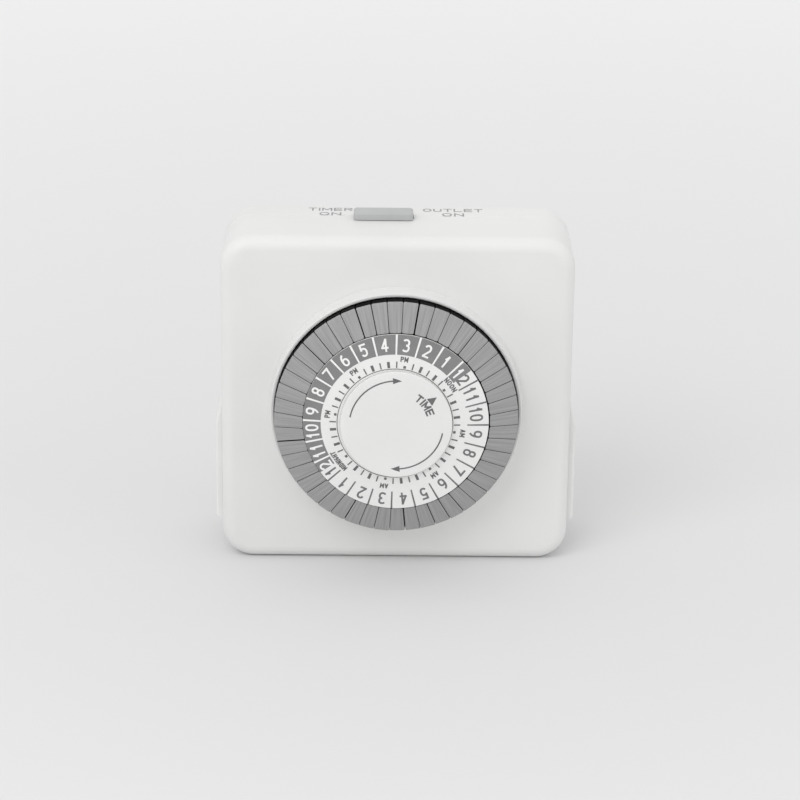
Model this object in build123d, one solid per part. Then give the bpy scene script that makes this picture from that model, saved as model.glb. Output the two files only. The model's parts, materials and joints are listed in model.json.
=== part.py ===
"""Plug-in timer switch with a 24 hour dial: a case of two shells, a dial with push-in pins, a gear
train driven by a small synchronous motor, a cam-follower switch, an override slide, an outlet on
each side and a three-pin plug on the back.

Millimetres. X runs to the right, Y from the front face to the wall, Z up. The construction is
laid out with y = 0 on the flat front face and z = 0 on the base, and every piece is moved at the
end by one shift, which puts the origin under the middle of the whole object.
"""
from build123d import *
import math
import os

# case
case_width = 78.0
case_height = 76.0
rear_shell_depth = 8.0
case_corner_radius = 7.0
front_edge_radius = 2.8
rear_edge_radius = 1.4
wall = 2.0
face_wall = 2.2
seam_chamfer = 0.25
lip_height = 1.5
lip_thickness = 0.9
fit_gap = 0.15            # between pieces that are fitted together and stay put
slide_gap = 0.30          # between pieces that move past each other
bearing_gap = 0.05        # radial, between a bore and what turns in it
pinion_overrun = 0.2      # of a pinion past the wheel that it meets
plate_gap = 0.5           # between a plate and the wheel next to it
joint_overlap = 0.2       # of one form into the next in the same solid
hole_floor = 1.0          # plastic left in front of a screw hole
cut_past = 1.0            # how far a cutting shape stands outside what it cuts

# bezel and dial
dial_drop = 1.0           # of the dial's axis below the middle of the case
bezel_rise = 4.2
bezel_bore_radius = 27.05
bezel_rim = 0.8
bezel_draft = 0.3
bezel_edge_round = 0.28
dial_edge_gap = 0.30
pin_count = 48
pins_per_hour = 2
pin_cap_inner_radius = 20.7
pin_cap_outer_rise = 7.2  # front of the cap above the case, at the rim of the dial
pin_cap_inner_rise = 9.2
pin_cap_back_rise = 4.3
pin_cap_gap = 0.12
pin_edge_round = 0.45
pin_travel = 2.4
pin_leg_inner_radius = 22.3
pin_leg_outer_radius = 25.3
pin_leg_width = 2.2
pin_leg_stand_out = 0.6   # of the leg behind the flange when the pin is out
pin_lead = 1.55           # degrees by which the pins stand ahead of their numerals
leg_slot_gap = 0.10
flange_front_rise = 1.4
flange_thickness = 3.4
drum_radius = 20.2
drum_wall = 3.4
web_thickness = 1.6
plate_radius = 20.4
plate_thickness = 1.2
plate_crown = 0.7         # the number plate falls by this from its middle to its edge
plate_bore_radius = 5.4
plate_set = 0.1           # of the number plate to the left, in its loose bore
disc_radius = 12.3
disc_rise = 11.4
disc_thickness = 0.8
disc_boss_radius = 5.0
disc_edge_round = 0.35
disc_socket_depth = 0.8
spindle_radius = 3.0
spindle_flange_radius = 6.0
spindle_flange_thickness = 0.6
spindle_rivet_radius = 4.0
spindle_rivet_thickness = 0.6
hub_radius = 6.0
noon_bearing = 52.5       # of the noon numeral, clockwise from the top
rest_turn = 1.1           # the dial stands this many degrees past it

# dial gearing
dial_module = 0.4
dial_teeth = 96
dial_pinion_teeth = 12
dial_gear_width = 3.0
leg_clearance = 0.6       # between a pushed-in leg and the dial gear's front
pressure_angle = 20.0
tooth_backlash = 0.16     # share of the module taken off each tooth's thickness, per flank
addendum_share = 0.85
dedendum_share = 1.20

# movement
train_module = 0.3
train_pinion_teeth = 10
second_teeth = 50
third_teeth = 60
clutch_teeth = 60
wheel_thickness = 1.0
wheel_gap = 0.4
arbor_radius = 0.75
arbor_overrun = 0.5
sleeve_radius = 1.6
movement_plate_width = 35.0
movement_plate_thickness = 1.2
plate_behind_gear = 1.0
motor_height = 24.0
motor_radius = 14.0
motor_plate_thickness = 1.0
motor_can_wall = 0.8
motor_can_depth = 6.4
motor_back_gap = 0.8
motor_ear_radius = 2.6
ear_post_gap = 0.2        # between the motor and the posts of its ears
motor_ear_bearings = (190.0, 270.0, 350.0)
second_bearing = 153.0    # of the second gear, seen from the motor's shaft
coil_inner_radius = 7.0
coil_outer_radius = 12.6
gearcase_radius = 6.4
post_radius = 2.4
plate_post_side = 14.0
plate_post_inset = 8.5    # of the upper posts from the top of the case
plate_post_bottom = 5.2
plate_screw_radius = 0.85
plate_screw_head_radius = 1.7
plate_screw_head = 1.0
plate_screw_length = 5.5

# case screws
boss_radius = 2.5
boss_inset = 5.0          # from the sides and the top of the case
boss_bottom = 4.8
case_screw_radius = 1.1
case_screw_head_radius = 2.2
case_screw_head = 1.8
case_screw_length = 14.0
counterbore_depth = 2.6
screw_recess_length = 2.9
screw_recess_width = 0.6
screw_recess_depth = 0.9

# switch
switch_bearing = 53.3     # clockwise from the top, where the switch is tripped
nose_radius = 1.1
nose_round = 0.66
lever_pin_inset = 4.0     # from the side wall
lever_pin_depth = 9.0
lever_pin_radius = 1.0
lever_hub_radius = 2.4
lever_height = 5.4
lever_arm_thickness = 2.0
bracket_thickness = 2.2
nub_side = 24.0
leaf_pivot_inset = 2.6    # from the side wall
leaf_eye_radius = 0.6
leaf_thickness = 0.4
leaf_width = 4.0
leaf_depth = 12.0
leaf_tip_side = 21.0
contact_side = 22.6
contact_radius = 1.4
contact_height = 1.0
contact_spare = 0.30
strip_thickness = 0.6
leaf_tab_width = 2.0
leaf_tab_height = 4.0
terminal_tab_height = 6.0

# override slide
knob_width = 13.3
knob_depth = 4.7
knob_height = 1.8
knob_front = 13.8
knob_middle = -3.2
knob_travel = 3.5
knob_lift = 0.15
knob_corner_radius = 0.9
knob_edge_round = 0.5
stem_width = 6.0
stem_depth = 2.6
stem_set_back = 1.0       # of the stem behind the middle of the knob
foot_width = 9.0
foot_depth = 6.0
foot_thickness = 1.7
slide_bar_depth = 2.0
slide_bar_height = 3.2
finger_inset = 8.8        # of the finger from the root of the leaf
finger_width = 2.0
finger_thickness = 1.0
finger_above_lever = 0.68

# outlets on the sides
outlet_rise = 1.6
outlet_front = 4.6
outlet_depth = 18.0
outlet_bottom = 8.4
outlet_slope_start = 31.0
outlet_top = 38.4
outlet_edge_round = 0.6
outlet_flange = 1.2
outlet_flange_thickness = 1.4
outlet_block_reach = 22.5  # of the insulating block's inner end from the middle of the case
outlet_block_inset = 0.7
slot_height_above_base = 28.0
slot_spacing = 12.7
ground_drop = 11.9
slot_width = 1.9
live_slot_height = 6.8
neutral_slot_height = 8.4
ground_hole_radius = 2.6
clip_sheet = 0.5
clip_opening = 1.6
clip_height = 7.6
clip_reach = 23.7         # of the blade clips' inner ends from the middle of the case
clip_tab = 2.4
ground_clip_radius = 2.9
ground_clip_reach = 21.7  # the same of the ground clips
ground_strap_thickness = 0.6
ground_strap_width = 2.4
ground_strap_lift = 0.4

# plug on the back
blade_spacing = 12.7
blade_thickness = 1.5
blade_height = 6.35
blade_length = 17.0
blade_hole_radius = 1.5
blade_hole_from_tip = 5.0
blade_tip_chamfer = 0.45
carrier_above_motor = 1.7
ground_pin_radius = 2.38
ground_pin_length = 21.0
ground_pin_round = 1.4
ground_collar_radius = 2.8
blade_flange = 1.1
carrier_width = 24.0
carrier_top_margin = 5.6
carrier_bottom_margin = 4.4
carrier_thickness = 5.2

# wires
wire_radius = 0.8
wire_bend = 1.8
wire_reach = 7.0
wire_front_run = 12.5
wire_middle_run = 14.3
wire_cross_drop = 7.8     # of the three cross runs below the switch
wire_low_drop = 6.2
wire_high_drop = 4.2
lead_radius = 0.5
lead_bend = 0.6
lead_side = 4.5
lead_inset = 1.2
lead_rise = 1.6
ground_wire_side = 20.3
ground_wire_rise = 4.0

# worked out from the above
side_inside = case_width / 2 - wall
top_inside = case_height - wall
dial_height = case_height / 2 - dial_drop
boss_side = case_width / 2 - boss_inset
boss_top = case_height - boss_inset
plate_post_top = case_height - plate_post_inset
lever_pin_side = side_inside - lever_pin_inset
leaf_pivot_side = side_inside - leaf_pivot_inset
finger_side = leaf_pivot_side - finger_inset
bezel_outer_radius = bezel_bore_radius + bezel_rim
dial_radius = bezel_bore_radius - dial_edge_gap
pin_pitch = 360.0 / pin_count
hour_pitch = pin_pitch * pins_per_hour
flange_back = flange_thickness - flange_front_rise
leg_end = flange_back + pin_leg_stand_out
dial_gear_front = leg_end + pin_travel + leg_clearance
dial_gear_back = dial_gear_front + dial_gear_width
plate_front = dial_gear_back + plate_behind_gear
plate_back = plate_front + movement_plate_thickness
clutch_level = plate_back + plate_gap
third_level = clutch_level + wheel_thickness + wheel_gap
second_level = third_level + wheel_thickness + wheel_gap
motor_plate_front = second_level + wheel_thickness + plate_gap
motor_plate_back = motor_plate_front + motor_plate_thickness
back_inside = motor_plate_back + motor_can_depth + motor_back_gap
back_face = back_inside + face_wall
front_shell_depth = back_face - rear_shell_depth
origin_depth = (back_face + ground_pin_length - disc_rise) / 2
disc_back_rise = disc_rise - disc_thickness
plate_rise = disc_back_rise - slide_gap
web_rise = plate_rise - plate_thickness
dial_pitch_radius = dial_module * dial_teeth / 2
dial_pinion_pitch_radius = dial_module * dial_pinion_teeth / 2
train_pinion_pitch_radius = train_module * train_pinion_teeth / 2
second_centres = train_pinion_pitch_radius + train_module * second_teeth / 2
third_centres = train_pinion_pitch_radius + train_module * third_teeth / 2
clutch_centres = train_pinion_pitch_radius + train_module * clutch_teeth / 2
outlet_middle = outlet_front + outlet_depth / 2
window_side = case_width / 2
nose_circle = (pin_leg_inner_radius + pin_leg_outer_radius) / 2
motor_ear_distance = motor_radius + post_radius + ear_post_gap
ground_pin_height = motor_height + motor_radius + carrier_above_motor + carrier_bottom_margin
plug_height = ground_pin_height + ground_drop
knob_slot_left = knob_middle - stem_width / 2 - slide_gap
knob_slot_right = knob_middle + stem_width / 2 + knob_travel + slide_gap
stem_middle = knob_front + knob_depth / 2 + stem_set_back


def block(x0, x1, y0, y1, z0, z1):
    """A box between two corners."""
    return Pos((x0 + x1) / 2, (y0 + y1) / 2, (z0 + z1) / 2) * Box(x1 - x0, y1 - y0, z1 - z0)


def rod(radius, y0, y1, x, z):
    """A cylinder along Y."""
    return Pos(x, (y0 + y1) / 2, z) * Rot(90, 0, 0) * Cylinder(radius, y1 - y0)


def cross_rod(radius, x0, x1, y, z):
    """A cylinder along X."""
    return Pos((x0 + x1) / 2, y, z) * Rot(0, 90, 0) * Cylinder(radius, x1 - x0)


def prism(face, y0, y1):
    """A flat outline, drawn as (x, z), carried from depth y0 to depth y1."""
    return Pos(0, y1, 0) * Rot(90, 0, 0) * extrude(face, amount=y1 - y0)


def turned(points, x, z):
    """A ring or disc whose section is given as (radius, depth) points, about an axis along Y."""
    section = make_face(Polyline(points, close=True))
    return Pos(x, 0, z) * revolve(section, Axis.Y)


def polar(bearing, radius):
    """The place at a bearing, in degrees clockwise from the top, on a circle about the dial's axis."""
    angle = math.radians(bearing)
    return radius * math.sin(angle), dial_height + radius * math.cos(angle)


def joined(shapes):
    """One solid out of several that overlap or share faces."""
    whole = shapes[0]
    for shape in shapes[1:]:
        whole = whole + shape
    return whole


def tooth_half_angle(radius, pitch_radius, teeth, module):
    """Half the angle that a tooth with involute flanks takes up at a radius."""
    base_radius = pitch_radius * math.cos(math.radians(pressure_angle))
    lean = math.acos(min(1.0, base_radius / max(radius, base_radius)))
    pitch_lean = math.radians(pressure_angle)
    thickness = math.pi / (2 * teeth) - tooth_backlash * module / pitch_radius
    return thickness + (math.tan(pitch_lean) - pitch_lean) - (math.tan(lean) - lean)


def gear_outline(teeth, module, x, z, turn):
    """A gear's outline about (x, z) with one tooth pointing along the angle turn, in radians."""
    pitch_radius = teeth * module / 2
    radii = (pitch_radius - dedendum_share * module, pitch_radius, pitch_radius + addendum_share * module)
    halves = [tooth_half_angle(radius, pitch_radius, teeth, module) for radius in radii]
    points = []
    for tooth in range(teeth):
        middle = turn + 2 * math.pi * tooth / teeth
        flank = [(radius, -half) for radius, half in zip(radii, halves)]
        flank += [(radius, half) for radius, half in zip(reversed(radii), reversed(halves))]
        for radius, offset in flank:
            points.append((x + radius * math.cos(middle + offset), z + radius * math.sin(middle + offset)))
    return make_face(Polyline(points, close=True))


def bearing_between(start, end):
    """The angle from one (x, z) place to another, in radians from +X."""
    return math.atan2(end[1] - start[1], end[0] - start[0])


def meeting_point(first, first_distance, second, second_distance):
    """The place to the left of the line from one centre to another, at a given distance from each."""
    across = (second[0] - first[0], second[1] - first[1])
    span = math.hypot(*across)
    along = (span ** 2 + first_distance ** 2 - second_distance ** 2) / (2 * span)
    aside = math.sqrt(first_distance ** 2 - along ** 2)
    unit = (across[0] / span, across[1] / span)
    return (first[0] + along * unit[0] - aside * unit[1], first[1] + along * unit[1] + aside * unit[0])


# arbors of the train, as (x, z)
dial_axis = (0.0, dial_height)
clutch_axis = (0.0, dial_height - dial_pitch_radius - dial_pinion_pitch_radius)
motor_axis = (0.0, motor_height)
second_axis = (
    motor_axis[0] + second_centres * math.cos(math.radians(second_bearing)),
    motor_axis[1] + second_centres * math.sin(math.radians(second_bearing)),
)
third_axis = meeting_point(second_axis, third_centres, clutch_axis, clutch_centres)

# the switch is tripped here
nose_side, nose_height = polar(switch_bearing, nose_circle)
nose_tip = leg_end + slide_gap
lever_reach = lever_pin_side - nose_side
lever_angle = math.asin(pin_travel / lever_reach)
leaf_share = (lever_pin_side - nub_side) / (leaf_pivot_side - nub_side)
leaf_angle = lever_angle * leaf_share
contact_travel = (leaf_pivot_side - contact_side) * math.sin(leaf_angle)
contact_face = leaf_depth + leaf_thickness + contact_height
fixed_contact_face = contact_face + contact_travel + contact_spare
strip_front = fixed_contact_face + contact_height
blade_front = strip_front + strip_thickness
carrier_front = back_inside - carrier_thickness
finger_bottom = nose_height + lever_height / 2 + finger_above_lever


def pad_section(grow):
    """The side pad seen from the front, on the right: straight, then sloping into the wall."""
    inner = side_inside - wall
    outer = window_side + outlet_rise
    return make_face(Polyline([
        (inner, outlet_bottom - grow),
        (outer, outlet_bottom - grow),
        (outer, outlet_slope_start + grow),
        (window_side, outlet_top + grow),
        (inner, outlet_top + grow),
    ], close=True))


def window(side, grow):
    """What a side pad, with the gap grow about it, takes out of the case's side wall."""
    cut = prism(pad_section(grow), outlet_front - grow, outlet_front + outlet_depth + grow)
    return cut if side > 0 else mirror(cut, about=Plane.YZ)


def flange_room(side, grow):
    """The room behind the wall for a side pad's flange."""
    inner = side_inside - fit_gap - outlet_flange_thickness - grow
    room = block(
        inner, side_inside - fit_gap + grow,
        outlet_front - outlet_flange - grow, outlet_front + outlet_depth + outlet_flange + grow,
        outlet_bottom - outlet_flange - grow, outlet_top + outlet_flange + grow,
    )
    return room if side > 0 else mirror(room, about=Plane.YZ)


def case_outline(inset):
    """The case's outline, seen from the front, drawn in by inset all round."""
    radius = case_corner_radius - inset
    outline = RectangleRounded(case_width - 2 * inset, case_height - 2 * inset, radius)
    return Pos(0, case_height / 2) * outline


def front_housing():
    shell = prism(case_outline(0), 0, front_shell_depth)
    front_edges = shell.edges().filter_by_position(Axis.Y, -0.01, 0.01)
    shell = fillet(front_edges, front_edge_radius)
    rear_edges = shell.faces().sort_by(Axis.Y)[-1].outer_wire().edges()
    shell = chamfer(rear_edges, seam_chamfer)
    shell -= prism(case_outline(wall), face_wall, front_shell_depth)
    bezel = turned([
        (bezel_bore_radius, -bezel_rise),
        (bezel_outer_radius, -bezel_rise),
        (bezel_outer_radius + bezel_draft, 0),
        (bezel_outer_radius + bezel_draft, face_wall / 2),
        (bezel_bore_radius, face_wall / 2),
    ], *dial_axis)
    rim = bezel.edges().filter_by(GeomType.CIRCLE).group_by(Axis.Y)[0]
    bezel = fillet(rim, bezel_edge_round)
    shell = shell + bezel
    shell -= rod(bezel_bore_radius, -bezel_rise - cut_past, face_wall + cut_past, *dial_axis)
    bosses = [rod(boss_radius, face_wall / 2, front_shell_depth, side * boss_side, height)
              for side in (-1, 1) for height in (boss_bottom, boss_top)]
    posts = [rod(post_radius, face_wall / 2, plate_front, side * plate_post_side, height)
             for side in (-1, 1) for height in (plate_post_bottom, plate_post_top)]
    brackets = [block(lever_pin_side - lever_hub_radius, side_inside + wall / 2, face_wall / 2,
                      lever_pin_depth + lever_hub_radius, low, low + bracket_thickness)
                for low in (nose_height - lever_height / 2 - slide_gap - bracket_thickness,
                            nose_height + lever_height / 2 + slide_gap)]
    shell = joined([shell] + bosses + posts + brackets)
    for side in (-1, 1):
        for height in (boss_bottom, boss_top):
            shell -= rod(case_screw_radius + bearing_gap, face_wall + hole_floor, front_shell_depth,
                         side * boss_side, height)
        for height in (plate_post_bottom, plate_post_top):
            shell -= rod(plate_screw_radius + bearing_gap, face_wall + hole_floor, plate_front,
                         side * plate_post_side, height)
        shell -= window(side, fit_gap)
    shell -= Pos(lever_pin_side, lever_pin_depth, nose_height) * Cylinder(
        lever_pin_radius + bearing_gap, lever_height + 2 * bracket_thickness + 4 * slide_gap)
    return shell - knob_slot()


def knob_slot():
    """The slot for the knob's stem, half of it in each shell."""
    return block(knob_slot_left, knob_slot_right, stem_middle - stem_depth / 2 - slide_gap,
                 stem_middle + stem_depth / 2 + slide_gap, top_inside - wall, case_height + cut_past)


def rear_housing():
    shell = prism(case_outline(0), front_shell_depth, back_face)
    rear_edges = shell.faces().sort_by(Axis.Y)[-1].outer_wire().edges()
    shell = fillet(rear_edges, rear_edge_radius)
    front_edges = shell.faces().sort_by(Axis.Y)[0].outer_wire().edges()
    shell = chamfer(front_edges, seam_chamfer)
    shell -= prism(case_outline(wall), front_shell_depth, back_inside)
    outer_lip = wall + fit_gap
    lip = prism(case_outline(outer_lip) - case_outline(outer_lip + lip_thickness),
                front_shell_depth - lip_height, front_shell_depth + wall)
    root = prism(case_outline(wall / 2) - case_outline(outer_lip + lip_thickness),
                 front_shell_depth + fit_gap, front_shell_depth + wall)
    shell = joined([shell, root, lip])
    for side in (-1, 1):
        for height in (boss_bottom, boss_top):
            shell -= rod(boss_radius + fit_gap, front_shell_depth - lip_height - cut_past,
                         front_shell_depth, side * boss_side, height)
            shell += rod(boss_radius, front_shell_depth, back_inside + face_wall / 2,
                         side * boss_side, height)
            shell -= rod(case_screw_radius + fit_gap, front_shell_depth - lip_height, back_face,
                         side * boss_side, height)
            shell -= rod(case_screw_head_radius + fit_gap, back_face - counterbore_depth,
                         back_face + cut_past, side * boss_side, height)
    for bearing in motor_ear_bearings:
        x, z = ear_place(bearing)
        shell += rod(post_radius, motor_plate_back, back_inside + face_wall / 2, x, z)
        shell -= rod(plate_screw_radius + bearing_gap, motor_plate_back, back_inside, x, z)
    for side in (-1, 1):
        shell -= window(side, fit_gap)
        shell -= flange_room(side, fit_gap)
        shell -= blade_room(side)
    shell -= rod(ground_collar_radius + fit_gap, back_inside - cut_past, back_face + cut_past,
                 0, ground_pin_height)
    knob_room = block(knob_middle - foot_width, knob_middle + foot_width + knob_travel,
                      front_shell_depth - lip_height - cut_past, front_shell_depth + wall + cut_past,
                      top_inside - foot_thickness - lip_thickness, top_inside)
    return shell - knob_room - knob_slot()


def blade_room(side):
    """The slot that a blade passes through in the back wall and in its carrier."""
    half = blade_thickness / 2 + fit_gap
    middle = side * blade_spacing / 2
    return block(middle - half, middle + half, carrier_front - cut_past, back_face + cut_past,
                 plug_height - blade_height / 2 - fit_gap, plug_height + blade_height / 2 + fit_gap)


def ear_place(bearing):
    """Where a motor ear's screw stands, as (x, z)."""
    angle = math.radians(bearing)
    return (motor_axis[0] + motor_ear_distance * math.cos(angle),
            motor_axis[1] + motor_ear_distance * math.sin(angle))


def dial_wheel():
    gear_root = dial_pitch_radius - dedendum_share * dial_module
    hub_back = plate_front - spindle_flange_thickness - fit_gap
    body = turned([
        (spindle_radius + bearing_gap, -web_rise),
        (drum_radius, -web_rise),
        (drum_radius, -flange_front_rise),
        (dial_radius, -flange_front_rise),
        (dial_radius, flange_back),
        (gear_root, flange_back),
        (gear_root, dial_gear_back),
        (drum_radius - drum_wall, dial_gear_back),
        (drum_radius - drum_wall, web_thickness - web_rise),
        (hub_radius, web_thickness - web_rise),
        (hub_radius, hub_back),
        (spindle_radius + bearing_gap, hub_back),
    ], *dial_axis)
    towards_pinion = bearing_between(dial_axis, clutch_axis)
    outline = gear_outline(dial_teeth, dial_module, *dial_axis, towards_pinion)
    ring = prism(outline, dial_gear_front, dial_gear_back)
    ring -= rod((gear_root + drum_radius - drum_wall) / 2, dial_gear_front - cut_past,
                dial_gear_back + cut_past, *dial_axis)
    slots = []
    for pin in range(pin_count):
        slot = block(
            -pin_leg_width / 2 - leg_slot_gap, pin_leg_width / 2 + leg_slot_gap,
            -flange_front_rise - cut_past, flange_back + cut_past,
            pin_leg_inner_radius - leg_slot_gap, pin_leg_outer_radius + leg_slot_gap,
        )
        slots.append(about_dial(slot, (pin + 0.5) * pin_pitch + rest_turn + pin_lead))
    return (body + ring).cut(*slots)


def about_dial(shape, bearing):
    """A shape drawn upright at the origin, turned clockwise by a bearing and put on the dial's axis."""
    return Pos(0, 0, dial_height) * Rot(0, bearing, 0) * shape


def number_plate():
    return turned([
        (plate_bore_radius, -web_rise),
        (plate_radius, -web_rise),
        (plate_radius, plate_crown - plate_rise),
        (disc_radius, -plate_rise),
        (plate_bore_radius, -plate_rise),
    ], dial_axis[0] - plate_set, dial_axis[1])


def centre_disc():
    disc = turned([
        (0, -disc_rise),
        (disc_radius, -disc_rise),
        (disc_radius, -disc_back_rise),
        (disc_boss_radius, -disc_back_rise),
        (disc_boss_radius, -web_rise - slide_gap),
        (spindle_radius + bearing_gap, -web_rise - slide_gap),
        (spindle_radius + bearing_gap, -disc_rise + disc_socket_depth),
        (0, -disc_rise + disc_socket_depth),
    ], *dial_axis)
    rim = disc.edges().filter_by(GeomType.CIRCLE).group_by(Axis.Y)[0]
    return fillet(rim, disc_edge_round)


def dial_spindle():
    return joined([
        rod(spindle_radius, -disc_rise + disc_socket_depth, plate_back, *dial_axis),
        rod(spindle_flange_radius, plate_front - spindle_flange_thickness, plate_front, *dial_axis),
        rod(spindle_rivet_radius, plate_back, plate_back + spindle_rivet_thickness, *dial_axis),
    ])


def pin(bearing):
    """One push-in pin: a wedge-shaped cap with a leg that passes through the dial's flange."""
    fall = (pin_cap_inner_rise - pin_cap_outer_rise) / (dial_radius - pin_cap_inner_radius)
    near = pin_cap_inner_radius - cut_past
    far = dial_radius + cut_past
    back = -pin_cap_back_rise
    side_section = make_face(Polyline([
        (pin_cap_inner_radius, -pin_cap_inner_rise),
        (far, fall * (far - pin_cap_inner_radius) - pin_cap_inner_rise),
        (far, back),
        (pin_cap_inner_radius, back),
    ], close=True))
    spread = math.tan(math.radians(pin_pitch / 2))
    near_half = near * spread - pin_cap_gap / 2
    far_half = far * spread - pin_cap_gap / 2
    wedge = prism(make_face(Polyline([
        (-near_half, near),
        (near_half, near),
        (far_half, far),
        (-far_half, far),
    ], close=True)), -pin_cap_inner_rise - cut_past, back)
    cap = Rot(0, -90, 0) * Pos(0, 0, -far_half) * extrude(side_section, amount=2 * far_half)
    cap = cap & wedge & rod(dial_radius, -pin_cap_inner_rise - cut_past, back, 0, 0)
    cap = fillet(cap.edges().filter_by(GeomType.ELLIPSE), pin_edge_round)
    leg = block(-pin_leg_width / 2, pin_leg_width / 2, back - joint_overlap, leg_end,
                pin_leg_inner_radius, pin_leg_outer_radius)
    return about_dial(cap + leg, bearing)


def hour_pins(hour):
    """The two pins of one hour, either side of its numeral; hour 0 is midnight."""
    middle = noon_bearing + rest_turn + pin_lead - (hour - 12) * hour_pitch
    return Compound(children=[pin(middle - pin_pitch / 2), pin(middle + pin_pitch / 2)])


def train_wheel(teeth, axis, partner, level, bore):
    """A train wheel at a level, with a gap between two teeth facing its partner."""
    turn = bearing_between(axis, partner) + math.pi / teeth
    outline = gear_outline(teeth, train_module, *axis, turn)
    wheel = prism(outline, level, level + wheel_thickness)
    return wheel - rod(bore, level - cut_past, level + wheel_thickness + cut_past, *axis)


def train_pinion(axis, partner, front, back, bore):
    """A train pinion with one tooth facing its partner."""
    outline = gear_outline(train_pinion_teeth, train_module, *axis, bearing_between(axis, partner))
    return prism(outline, front, back) - rod(bore, front - cut_past, back + cut_past, *axis)


def second_gear():
    bore = arbor_radius + bearing_gap
    wheel = train_wheel(second_teeth, second_axis, motor_axis, second_level, bore)
    return wheel + train_pinion(second_axis, third_axis, third_level - pinion_overrun, second_level, bore)


def third_gear():
    bore = arbor_radius + bearing_gap
    wheel = train_wheel(third_teeth, third_axis, second_axis, third_level, bore)
    return wheel + train_pinion(third_axis, clutch_axis, clutch_level - pinion_overrun, third_level, bore)


def clutch_wheel():
    return train_wheel(clutch_teeth, clutch_axis, third_axis, clutch_level, sleeve_radius + bearing_gap)


def dial_pinion():
    turn = bearing_between(clutch_axis, dial_axis) + math.pi / dial_pinion_teeth
    outline = gear_outline(dial_pinion_teeth, dial_module, *clutch_axis, turn)
    teeth = prism(outline, dial_gear_front - pinion_overrun, dial_gear_back + pinion_overrun)
    sleeve = rod(sleeve_radius, dial_gear_back, clutch_level + wheel_thickness + pinion_overrun,
                 *clutch_axis)
    return teeth + sleeve - rod(arbor_radius + bearing_gap, 0, back_face, *clutch_axis)


def gear_arbors():
    ends = ((second_axis, plate_front), (third_axis, plate_front),
            (clutch_axis, dial_gear_front - arbor_overrun))
    return Compound(children=[rod(arbor_radius, front, motor_plate_back, *axis) for axis, front in ends])


def movement_plate():
    bottom = plate_post_bottom - post_radius
    top = plate_post_top + post_radius
    outline = Pos(0, (bottom + top) / 2) * RectangleRounded(movement_plate_width, top - bottom, post_radius)
    plate = prism(outline, plate_front, plate_back)
    holes = [
        rod(spindle_radius + bearing_gap, plate_front, plate_back, *dial_axis),
        rod(arbor_radius + bearing_gap, plate_front, plate_back, *second_axis),
        rod(arbor_radius + bearing_gap, plate_front, plate_back, *third_axis),
        rod(sleeve_radius + 2 * bearing_gap, plate_front, plate_back, *clutch_axis),
    ]
    for side in (-1, 1):
        for height in (plate_post_bottom, plate_post_top):
            holes.append(rod(plate_screw_radius + fit_gap, plate_front, plate_back,
                             side * plate_post_side, height))
    return plate.cut(*holes)


def movement_screws():
    """The small pan-head screws: four hold the movement plate, three the motor."""
    screws = []
    for side in (-1, 1):
        for height in (plate_post_bottom, plate_post_top):
            place = (side * plate_post_side, height)
            shank = rod(plate_screw_radius, plate_back - plate_screw_length, plate_back, *place)
            head = rod(plate_screw_head_radius, plate_back, plate_back + plate_screw_head, *place)
            screws.append(shank + head)
    for bearing in motor_ear_bearings:
        place = ear_place(bearing)
        seat = motor_plate_front
        shank = rod(plate_screw_radius, seat, seat + plate_screw_length, *place)
        screws.append(shank + rod(plate_screw_head_radius, seat - plate_screw_head, seat, *place))
    return Compound(children=screws)


def motor_plate():
    plate = rod(motor_radius, motor_plate_front, motor_plate_back, *motor_axis)
    for bearing in motor_ear_bearings:
        x, z = ear_place(bearing)
        bar = Pos(motor_axis[0], motor_plate_front, motor_axis[1]) * Rot(0, -bearing, 0) * block(
            0, motor_ear_distance, 0, motor_plate_thickness, -motor_ear_radius, motor_ear_radius)
        plate += bar
        plate += rod(motor_ear_radius, motor_plate_front, motor_plate_back, x, z)
        plate -= rod(plate_screw_radius + fit_gap, motor_plate_front, motor_plate_back, x, z)
    for axis in (motor_axis, second_axis, third_axis, clutch_axis):
        plate -= rod(arbor_radius + bearing_gap, motor_plate_front, motor_plate_back, *axis)
    return plate


def motor_can():
    outside = rod(motor_radius, motor_plate_back, motor_plate_back + motor_can_depth, *motor_axis)
    return outside - rod(motor_radius - motor_can_wall, motor_plate_back - cut_past,
                         motor_plate_back + motor_can_depth - motor_can_wall, *motor_axis)


def motor_coil():
    floor = motor_plate_back + motor_can_depth - motor_can_wall
    coil = rod(coil_outer_radius, motor_plate_back + fit_gap, floor - fit_gap, *motor_axis)
    return coil - rod(coil_inner_radius, motor_plate_back, floor, *motor_axis)


def motor_gearcase():
    floor = motor_plate_back + motor_can_depth - motor_can_wall
    case = rod(gearcase_radius, motor_plate_back + fit_gap, floor - fit_gap, *motor_axis)
    return case - rod(arbor_radius + bearing_gap, motor_plate_back, floor - wall, *motor_axis)


def motor_output():
    floor = motor_plate_back + motor_can_depth - motor_can_wall
    shaft = rod(arbor_radius, second_level - pinion_overrun, floor - wall - fit_gap, *motor_axis)
    outline = gear_outline(train_pinion_teeth, train_module, *motor_axis,
                           bearing_between(motor_axis, second_axis))
    return shaft + prism(outline, second_level - pinion_overrun, motor_plate_front - fit_gap)


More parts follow.
